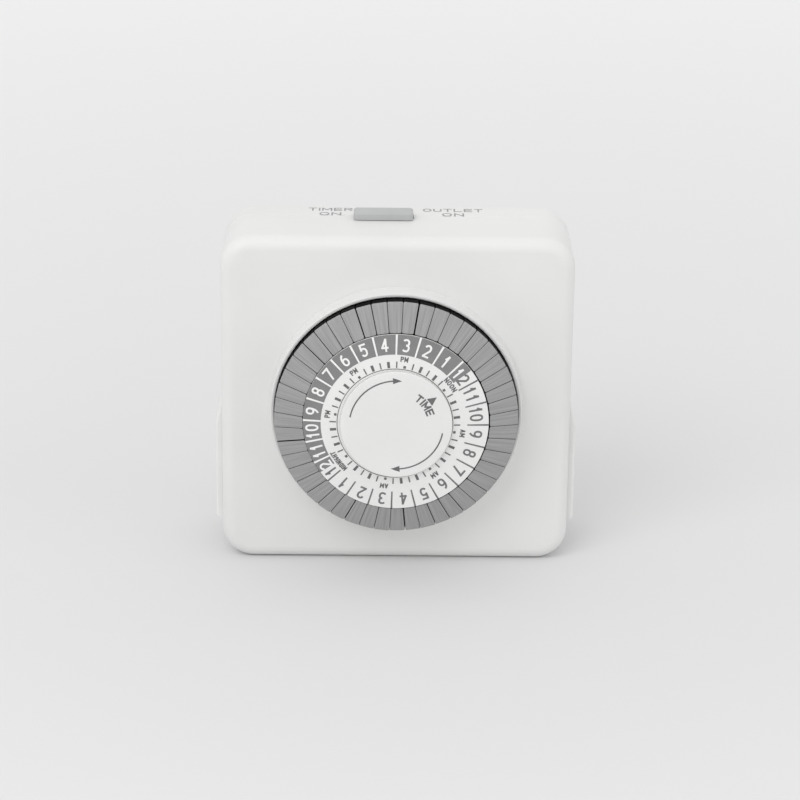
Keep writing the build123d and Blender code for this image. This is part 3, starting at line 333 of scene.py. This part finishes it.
def capRings(left, right, lift, short):
    # rings of the cap from its back to its front: the side wall, then a rounding that draws in by
    # r(1 - cos a) and comes forward to r(1 - sin a) below the sloping front, then the front's border
    fall = (cap["innerRise"] - cap["outerRise"]) / (cap["outer"] - cap["inner"])
    slope = math.tan(math.radians(halfHourTurn / 2))

    def ring(draw, outerDraw):
        # the outline drawn in, and a share that rises to 1 at the outer end, which bends with
        # the dial by side squared over twice the radius
        near, far = cap["inner"] + draw, cap["outer"] - short - outerDraw
        half = np.array([near, far]) * slope - cap["gap"] / 2 - draw
        corners = [(-half[0] + left, near), (half[0] - right, near),
                   (half[1] - right, far), (-half[1] + left, far)]
        points = outline(corners, cap["corner"] - 0.5 * draw)
        outer = np.clip((points[:, 1] - far + 0.5) / 0.4, 0, 1)
        points[:, 1] -= outer * points[:, 0] ** 2 / (2 * cap["outer"])
        return points, outer

    rings = []
    for draw, depth in ((cap["foot"], 0.0), (0.0, cap["foot"])):
        points, outer = ring(draw, draw)
        rings.append(np.column_stack([points, np.full(len(points), -cap["backRise"] - depth)]))
    for a in np.radians(np.linspace(0, 90, 5)):
        drawn = 1 - math.cos(a)
        points, outer = ring(cap["sideRound"] * drawn, cap["outerRound"] * drawn)
        radius = cap["sideRound"] + outer * (cap["outerRound"] - cap["sideRound"])
        front = fall * (points[:, 1] - cap["inner"]) - cap["innerRise"]
        rings.append(np.column_stack([points, front + radius * (1 - math.sin(a)) - lift]))
    points, outer = ring(cap["sideRound"] + cap["border"], cap["outerRound"] + cap["border"])
    front = fall * (points[:, 1] - cap["inner"]) - cap["innerRise"]
    rings.append(np.column_stack([points, front - lift]))
    return np.array(rings)


def legRings():
    # rings of the leg from its top, inside the cap, to its end, drawn in by a rounding
    half, rounding = leg["width"] / 2, leg["round"]
    stations = ((0, leg["top"]), (0, leg["end"] - rounding),
                (rounding * 0.3, leg["end"] - rounding * 0.3), (rounding, leg["end"]))
    rings = []
    for draw, depth in stations:
        inner, outer = leg["inner"] + draw, leg["outer"] - draw
        points = outline([(-half + draw, inner), (half - draw, inner),
                          (half - draw, outer), (-half + draw, outer)], leg["corner"])
        rings.append(np.column_stack([points, np.full(len(points), depth)]))
    return np.array(rings)


for hour in range(24):
    points, faces, tones = [], [], []
    for place in (-1, 1):
        bearing = numeralBearing(hour) + cap["lead"] + place * halfHourTurn / 2
        boundary = round((bearing - dialTurn - cap["lead"]) / halfHourTurn - 0.5) % 48
        left = widerGaps.get(boundary, 0) / 2 + rng.uniform(0, looseness["gap"])
        right = widerGaps.get((boundary + 1) % 48, 0) / 2 + rng.uniform(0, looseness["gap"])
        lift, short = rng.uniform(-looseness["lift"], 0.0), rng.uniform(0.0, looseness["short"])
        # black are the leg and the cap's foot and wall, grey the cap's rounding and front
        for rings, grey in ((capRings(left, right, lift, short), True), (legRings(), False)):
            bands, count = len(rings) - 1, rings.shape[1]
            black = 2 if grey else bands
            placed = onDial(rings[..., 0], rings[..., 1], caseFront + rings[..., 2], bearing)
            faces += ringFaces(bands + 1, count, len(points))
            points += placed.reshape(-1, 3).tolist()
            tones += [1] * (black * count) + [0] * ((bands - black) * count)
            tones += [1, 0 if grey else 1]
    pins = meshPiece("pins_%02d" % hour, points, faces, (capAbs, pinAcetal), "pins_%02d" % hour,
                     30, tones)
    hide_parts("pins_hour_%02d" % hour)
print("pins", 48)


# centre disc, turned: flat front, rounded rim, boss and socket behind
disc = {"radius": 12.3, "front": -11.35, "back": -10.6, "round": 0.2, "boss": 5.0,
        "bossBack": -9.4, "socket": 3.05, "floor": -10.6, "sides": 96}


def discProfile():
    # (radius, depth) from the middle of the front, over the rim and round to the socket's floor
    a = np.radians(np.linspace(90, 0, 7))
    flat = disc["radius"] - disc["round"]
    rim = np.column_stack([disc["radius"] - disc["round"] * (1 - np.cos(a)),
                           disc["front"] + disc["round"] * (1 - np.sin(a))])
    front = np.column_stack([np.linspace(0, flat, 12)[:-1], np.full(11, disc["front"])])
    behind = [(disc["radius"], disc["back"]), (disc["boss"], disc["back"]),
              (disc["boss"], disc["bossBack"]), (disc["socket"], disc["bossBack"]),
              (disc["socket"], disc["floor"]), (0, disc["floor"])]
    return np.vstack([front, rim, behind])


profile = discProfile()
around = np.linspace(0, 2 * math.pi, disc["sides"], endpoint=False)
radius = profile[:, None, 0] + 0 * around
turned = np.stack([radius * np.sin(around), caseFront + profile[:, None, 1] + 0 * around,
                   dialHeight + radius * np.cos(around)], -1)
centreDisc = meshPiece("centre_disc_piece", turned.reshape(-1, 3),
                       ringFaces(len(profile), disc["sides"], ends=False), [discAbs], "case")
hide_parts("centre_disc")


# print: thin closed films that follow the surface they are printed on; where strokes cross, the
# later one stands a step further out, so that no two faces lie in one plane
film = {"proud": 0.03, "sunk": 0.02, "step": 0.003}


def filmFaces(n, m, loop=False):
    # a grid of n by m points in a front and a back layer, closed along its border; in a loop the
    # last row lies on the first, so only the two long sides are closed
    index = np.arange(n * m).reshape(n, m)
    quads = np.stack([index[:-1, :-1], index[1:, :-1], index[1:, 1:], index[:-1, 1:]], -1)
    quads = quads.reshape(-1, 4)
    if loop:
        rim = np.concatenate([index[:-1, 0], index[1:, -1]])
        beside = np.concatenate([index[1:, 0], index[:-1, -1]])
    else:
        rim = np.concatenate([index[:-1, 0], index[-1, :-1], index[:0:-1, -1], index[0, :0:-1]])
        beside = np.roll(rim, -1)
    sides = np.stack([rim, beside, beside + n * m, rim + n * m], -1)
    return np.vstack([quads, quads[:, ::-1] + n * m, sides]).tolist()


def layers(grid, surface, level=0):
    # a film's front and back layer: the grid's points moved to a little before and behind a surface
    flat = grid.reshape(-1, 3)
    under = surface(flat[:, 0], flat[:, 2])
    return np.concatenate([np.column_stack([flat[:, 0], under + depth, flat[:, 2]])
                           for depth in (-film["proud"] - film["step"] * level, film["sunk"])])


def filmStrip(bearings, radii, surface, middle):
    # a film over bearing and radius; the radii are one row, or a row for each bearing
    r = np.broadcast_to(radii, (len(bearings), np.shape(radii)[-1]))
    b = np.broadcast_to(np.asarray(bearings, float)[:, None], r.shape)
    return layers(onDial(0 * r, r, 0.0, b, middle), surface), filmFaces(*r.shape)


def bar(bearing, inner, outer, width, surface, middle):
    # a radial mark, as wide at its middle radius as the arc of its bearings there
    half = math.degrees(width / (inner + outer))
    return filmStrip([bearing - half, bearing + half], [inner, outer], surface, middle)


def curve(x, y, wide, high, start, stop, steps=24):
    # an arc of an ellipse, drawn a little squarer by raising its sine and cosine to a power
    a = np.radians(np.linspace(start, stop, steps))
    across, upward = [np.sign(part) * np.abs(part) ** 0.85 for part in (np.cos(a), np.sin(a))]
    return np.column_stack([x + wide * across, y + high * upward])


def line(*points):
    # a stroke straight from point to point
    return np.array(points, float)


# each character is a few strokes between -1 and 1 both ways, and each stroke is given by its middle
stem = line((-1, -1), (-1, 1))
farStem = line((1, -1), (1, 1))
strokes = {
    "0": [curve(0, 0, 1, 1, 0, 360, 40)],
    "1": [line((0.2, -1), (0.2, 1)), line((0.1, 0.92), (-0.9, 0.42))],
    "2": [np.vstack([curve(0, 0.42, 0.95, 0.58, 165, -20), [(-0.85, -0.9)]]),
          line((-0.95, -1), (1, -1))],
    "3": [curve(-0.1, 0.5, 0.95, 0.5, 150, -90), curve(-0.1, -0.47, 1.1, 0.53, 90, -150)],
    "4": [line((0.3, 0.9), (-0.95, -0.35)), line((-1, -0.45), (1, -0.45)),
          line((0.4, -1), (0.4, 1))],
    "5": [line((-0.75, 1), (0.85, 1)), line((-0.75, 1), (-0.85, 0.1)),
          curve(-0.1, -0.36, 1.05, 0.64, 140, -150)],
    "6": [curve(0, -0.42, 1, 0.58, 0, 360, 32), curve(0.8, -0.35, 1.8, 1.35, 105, 178)],
    "7": [line((-1, 1), (1, 1)), line((0.9, 0.9), (-0.35, -1))],
    "8": [curve(0, 0.52, 0.85, 0.48, 0, 360, 28), curve(0, -0.46, 1, 0.54, 0, 360, 28)],
    "9": [curve(0, 0.42, 1, 0.58, 0, 360, 32), curve(-0.8, 0.35, 1.8, 1.35, -75, -2)],
    "A": [line((-1, -1), (-0.1, 0.9)), line((1, -1), (0.1, 0.9)),
          line((-0.55, -0.4), (0.55, -0.4))],
    "D": [stem, np.vstack([[(-1, 1)], curve(-0.1, 0, 1.1, 1, 90, -90), [(-1, -1)]])],
    "E": [stem, line((-1, 1), (1, 1)), line((-1, 0), (0.8, 0)), line((-1, -1), (1, -1))],
    "G": [curve(0, 0, 1, 1, 45, 345, 34), line((0.25, -0.1), (1, -0.1))],
    "H": [stem, farStem, line((-1, 0), (1, 0))],
    "I": [line((0, -1), (0, 1))],
    "L": [stem, line((-1, -1), (1, -1))],
    "M": [stem, farStem, line((-0.95, 0.85), (0, -0.4)), line((0.95, 0.85), (0, -0.4))],
    "N": [stem, farStem, line((-0.92, 0.82), (0.92, -0.82))],
    "P": [stem, np.vstack([[(-1, 1)], curve(0.2, 0.48, 0.8, 0.52, 90, -90), [(-1, -0.04)]])],
    "T": [line((0, -1), (0, 1)), line((-1, 1), (1, 1))],
    "U": [np.vstack([[(-1, 1)], curve(0, -0.35, 1, 0.65, 180, 360), [(1, 1)]])],
}
strokes["O"] = strokes["0"]
strokes["R"] = strokes["P"] + [line((0.1, -0.1), (0.95, -0.95))]
widths = {"I": 0.0, "1": 0.6, "M": 1.25}


def ribbons(text, height, width, weight, gap=0.5):
    # the strokes of a word as bands of even width, set out to a total width; straight strokes
    # end square, half their width past the last point
    shares = np.array([widths.get(letter, 1.0) for letter in text])
    spaces = 2 * shares.sum() + gap * (len(text) - 1)
    half = (width - len(text) * weight) / spaces if shares.any() else 0
    made, left = [], -width / 2
    for letter, share in zip(text, shares):
        middle = left + weight / 2 + half * share
        for level, points in enumerate(strokes[letter]):
            path = points * [half * share, (height - weight) / 2] + [middle, 0]
            loop = np.allclose(path[0], path[-1])
            run = np.gradient(path, axis=0)
            if loop:
                run[0] = run[-1] = path[1] - path[-2]
            run /= np.linalg.norm(run, axis=1)[:, None]
            if len(path) == 2:
                path = path + np.array([[-0.5], [0.5]]) * weight * run
            across = np.column_stack([-run[:, 1], run[:, 0]]) * weight / 2
            made.append((np.stack([path + across, path - across], 1), loop, level))
        left += weight + half * (2 * share + gap)
    return made


def dialText(text, height, width, weight, bearing, radius, surface, middle):
    # a word bent round the dial, each point at the bearing of its place along the word
    made = []
    for ribbon, loop, level in ribbons(text, height, width, weight):
        far = radius + ribbon[..., 1]
        grid = onDial(0 * far, far, 0.0, bearing + np.degrees(ribbon[..., 0] / radius), middle)
        made.append((layers(grid, surface, level), filmFaces(*far.shape, loop)))
    return made


def printed(name, strips, ink, body):
    # all the strips of one print as one piece
    points, faces = [], []
    for stripPoints, stripFaces in strips:
        faces += [[i + len(points) for i in face] for face in stripFaces]
        points += stripPoints.tolist()
    meshPiece(name, points, faces, [ink], body)


# the band of the afternoon hours runs clockwise from midnight to noon, between an inner edge,
# off its middle by the slack of the printing pad, and nearly the plate's edge
band = {"noon": noonBearing, "midnight": noonBearing - 180, "inside": 16.11, "low": 0.18,
        "left": 0.02, "margin": 0.02, "light": 0.4, "dark": 0.34, "lift": 0.02}


def bandInside(bearing):
    # the inner radius less a part of the bearing's cosine and a part of its sine
    angle = np.radians(bearing)
    return band["inside"] - band["low"] * np.cos(angle) - band["left"] * np.sin(angle)


def plateEdge(bearing):
    # how far the plate's edge lies from the middle of the band: its radius, less a margin, and
    # the sine's part of the way between the two middles
    aside = (plate["centre"] - plate["band"]) * np.sin(np.radians(bearing))
    return plate["edge"] - band["margin"] + aside


def onBand(x, z):
    # white print lies over the band's ink, a little further out than other print
    return plateFront(x, z) - band["lift"]


bearings = np.linspace(band["midnight"], band["noon"], 181)
inside, bandWidth = bandInside(bearings), plateEdge(bearings) - bandInside(bearings)
radii = inside[:, None] + bandWidth[:, None] * np.linspace(0, 1, 5)
printed("number_band", [filmStrip(bearings, radii, plateFront, plate["band"])], bandInk, "dial")

digit = {"height": 2.95, "width": 1.62, "weight": 0.43, "radius": 18.1, "apart": 0.9,
         "turn": -0.7}
apart = math.degrees(digit["apart"] / digit["radius"])
whiteMarks, darkMarks = [], []
for hour in range(24):
    shown = str((hour - 1) % 12 + 1)
    for place, text in enumerate(shown):
        # the band ends in the middle of each twelve, so one digit is white and the other dark
        side = 2 * place + 1 - len(shown)
        white = (side < 0) == (hour == 12) if hour in (0, 12) else hour > 12
        (whiteMarks if white else darkMarks).extend(dialText(
            text, digit["height"], digit["width"] * widths.get(text, 1.0), digit["weight"],
            numeralBearing(hour) + digit["turn"] + side * apart, digit["radius"],
            onBand if white else plateFront, plate["band"]))
    # the line between this hour and the one before
    edge = numeralBearing(hour) + halfHourTurn
    white = (edge - band["midnight"]) % 360 < 180
    (whiteMarks if white else darkMarks).append(
        bar(edge, bandInside(edge), plateEdge(edge), band["light" if white else "dark"],
            onBand if white else plateFront, plate["band"]))
printed("numerals_light", whiteMarks, whiteInk, "dial")
printed("numerals_dark", darkMarks, darkInk, "dial")

# bold marks in line with the numerals, a dot in place of every third one, thin marks between them
# and a ring inside
scale = {"inner": 12.95, "outer": 14.35, "bold": 0.58, "thin": 0.28, "dot": 0.56,
         "ring": (12.62, 12.78), "letter": 1.2, "weight": 0.25}
labels = []
for step in range(48):
    width, outer = scale["bold"], scale["outer"]
    if step % 2 == 0:
        width = scale["thin"]
    elif step % 6 == 1:
        width, outer = scale["dot"], scale["inner"] + scale["dot"]
    labels.append(bar(dialTurn + step * halfHourTurn, scale["inner"], outer, width, plateFront,
                      plate["scale"]))
# the words with their width, radius and bearings
for text, width, radius, bearings in (("NOON", 3.6, 15.1, (52.0,)),
                                      ("MIDNIGHT", 5.1, 15.4, (232.5,)),
                                      ("AM", 1.8, 15.05, (97.5, 142.5, 187.5)),
                                      ("PM", 1.7, 14.95, (276.5, 321.5, 6.3))):
    for bearing in bearings:
        labels += dialText(text, scale["letter"], width, scale["weight"], bearing + dialTurn,
                           radius, plateFront, plate["scale"])
labels.append(filmStrip(np.linspace(0, 360, 181), scale["ring"], plateFront, plate["scale"]))
printed("hour_scale", labels, scaleInk, "dial")


def discFront(x, z):
    # one depth all over the disc
    return caseFront + disc["front"] + 0 * x


# two turning arrows and a pointer with its word; a head narrows to a blunt tip
arrow = {"radius": 10.3, "line": 0.3, "head": 1.9, "headWidth": 1.4, "tip": 0.02,
         "sweeps": ((-80, 6), (100, 186))}
pointer = {"bearing": 53.0, "inner": 9.0, "outer": 10.9, "base": 1.95, "tip": 0.06}
word = {"height": 1.85, "width": 5.3, "weight": 0.36, "radius": 7.9}
marks = []
for start, stop in arrow["sweeps"]:
    headStart = stop - math.degrees(arrow["head"] / arrow["radius"])
    lineRadii = arrow["radius"] + np.array([-0.5, 0.5]) * arrow["line"]
    marks.append(filmStrip(np.linspace(start, headStart, 40), lineRadii, discFront, 0))
    half = np.linspace(1, arrow["tip"], 5)[:, None] * arrow["headWidth"] / 2
    headRadii = arrow["radius"] + np.hstack([-half, half])
    marks.append(filmStrip(np.linspace(headStart, stop, 5), headRadii, discFront, 0))
radii = np.array([[pointer["inner"]] * 2, [pointer["outer"]] * 2])
side = np.array([[-0.5, 0.5]]) * [[pointer["base"]], [pointer["tip"]]]
marks.append((layers(onDial(side, radii, 0.0, pointer["bearing"]), discFront), filmFaces(2, 2)))
marks += dialText("TIME", word["height"], word["width"], word["weight"], pointer["bearing"],
                  word["radius"], discFront, 0)
printed("disc_print", marks, scaleInk, "case")

# labels of the top, each with its middle, counted from the case's front, and its width
topPrint = {"height": 2.25, "weight": 0.34}
topLabels = []
for text, x, y, width in (("TIMER", -15.1, 22.45, 9.9), ("ON", -15.1, 19.0, 4.9),
                          ("OUTLET", 12.4, 22.45, 13.4), ("ON", 12.4, 19.0, 4.9)):
    for ribbon, loop, level in ribbons(text, topPrint["height"], width, topPrint["weight"]):
        flat = ribbon.reshape(-1, 2)
        points = [np.column_stack([x + flat[:, 0], caseFront + y + flat[:, 1],
                                   np.full(len(flat), caseTop + depth)])
                  for depth in (film["proud"] + film["step"] * level, -film["sunk"])]
        topLabels.append((np.concatenate(points), filmFaces(len(ribbon), 2, loop)))
printed("top_labels", topLabels, paleInk, "case")
print("print", len(whiteMarks), len(darkMarks), len(labels), len(marks), len(topLabels))


# a round table top with painted shade: its tone rises from grey about the object to white far off
# colours and rise give the painted shade: grey near the object, white beyond
table = {"near": 0.05, "far": 12, "rings": 24, "sides": 64, "colours": ("#e0e0e0", "#f5f5f5"),
         "stops": (0.0, 1.0), "rise": (0.1, 0.6), "fibres": 900.0, "roughness": (0.6, 0.7),
         "relief": 0.05, "depth": 0.05}


def paintedShadeAndNap(tree, place, look):
    # the distance from the object, which sets the painted shade about it, and the fine fibre of a
    # matte sheet
    away = add(tree, "ShaderNodeVectorMath", operation="LENGTH", links={0: place})
    paintedShadeReach = add(tree, "ShaderNodeMapRange", links={"Value": away.outputs["Value"]},
                values={"From Min": look["rise"][0], "From Max": look["rise"][1]})
    fibre = add(tree, "ShaderNodeTexNoise", values={"Scale": look["fibres"]},
                links={"Vector": place})
    return paintedShadeReach.outputs["Result"], fibre.outputs["Fac"]


steps = np.concatenate([[0], np.geomspace(table["near"], table["far"], table["rings"])])[:, None]
around = np.linspace(0, 2 * math.pi, table["sides"], endpoint=False)
disk = np.stack([steps * np.cos(around), steps * np.sin(around), 0 * steps * around], -1) / mm
# the table's material carries the painted shade about the object
meshPiece("table_top", disk.reshape(-1, 3),
                   ringFaces(len(steps), table["sides"], ends=False),
                   [surfaced("matteTableTopPaintedShade", table, paintedShadeAndNap)], None)

# an even white room: its dome lights the object, and the camera sees a plain pale wall
room = {"dome": ((0.0, "#eeeeee"), (0.9, "#f4f4f4")), "strength": 0.97, "wall": "#efefef"}
world = bpy.data.worlds.new("studio")
bpy.context.scene.world = world
world.use_nodes = True
tree = world.node_tree
tree.nodes.clear()
toward = add(tree, "ShaderNodeTexCoord").outputs["Generated"]
height = add(tree, "ShaderNodeSeparateXYZ", links={"Vector": toward}).outputs["Z"]
dome = add(tree, "ShaderNodeValToRGB", links={"Fac": height}, stops=room["dome"])
lit = add(tree, "ShaderNodeBackground", values={"Strength": room["strength"]},
          links={"Color": dome.outputs["Color"]}).outputs[0]
seen = add(tree, "ShaderNodeBackground",
           values={"Color": linear(room["wall"]), "Strength": 1.0}).outputs[0]
ray = add(tree, "ShaderNodeLightPath").outputs["Is Camera Ray"]
mixed = add(tree, "ShaderNodeMixShader", links={0: ray, 1: lit, 2: seen}).outputs[0]
add(tree, "ShaderNodeOutputWorld", links={"Surface": mixed})


def softbox(name, place, size, power, aim=(0, 0, 0.03)):
    # an area lamp in metres and watts, turned to the middle of the object
    lamp = bpy.data.lights.new(name, "AREA")
    lamp.shape, lamp.size, lamp.size_y, lamp.energy = "RECTANGLE", size[0], size[1], power
    holder = bpy.data.objects.new(name, lamp)
    holder.location = place
    holder.rotation_euler = Vector(np.subtract(aim, place)).to_track_quat("-Z", "Y").to_euler()
    bpy.context.scene.collection.objects.link(holder)


softbox("key_softbox", (-0.5, -0.75, 0.95), (0.8, 0.8), 4.1)
softbox("side_softbox", (0.95, -0.4, 0.6), (0.6, 0.8), 0.7)

# the camera looks down at the case's face; yaw and tilt are in degrees and roll is a slope, the
# distance and the height of its aim are in metres
view = {"yaw": 0.4, "tilt": 20.9, "roll": 0.01134, "distance": 0.610, "height": 0.0339,
        "sensor": 36, "lens": 122.985, "shift": (0.005, 0.025)}
yaw, tilt, roll = math.radians(view["yaw"]), math.radians(view["tilt"]), view["roll"]
forward = np.array([math.cos(tilt) * math.sin(yaw), math.cos(tilt) * math.cos(yaw),
                    -math.sin(tilt)])
right = np.array([math.cos(yaw), -math.sin(yaw), 0])
up = np.array([math.sin(tilt) * math.sin(yaw), math.sin(tilt) * math.cos(yaw), math.cos(tilt)])
lens = bpy.data.cameras.new("camera")
lens.sensor_width, lens.lens = view["sensor"], view["lens"]
lens.shift_x, lens.shift_y = view["shift"]
camera = bpy.data.objects.new("camera", lens)
bpy.context.scene.collection.objects.link(camera)
pose = np.eye(4)
pose[:3, 0] = right + roll * up
pose[:3, 1] = up - roll * right
pose[:3, 2] = -forward
pose[:3, :3] /= np.linalg.norm(pose[:3, :3], axis=0)
pose[:3, 3] = np.array([0, caseFront * mm, view["height"]]) - view["distance"] * forward
camera.matrix_world = Matrix(pose.tolist())
bpy.context.scene.camera = camera
bpy.context.scene.view_settings.view_transform = "Standard"
print("stage", camera.name)
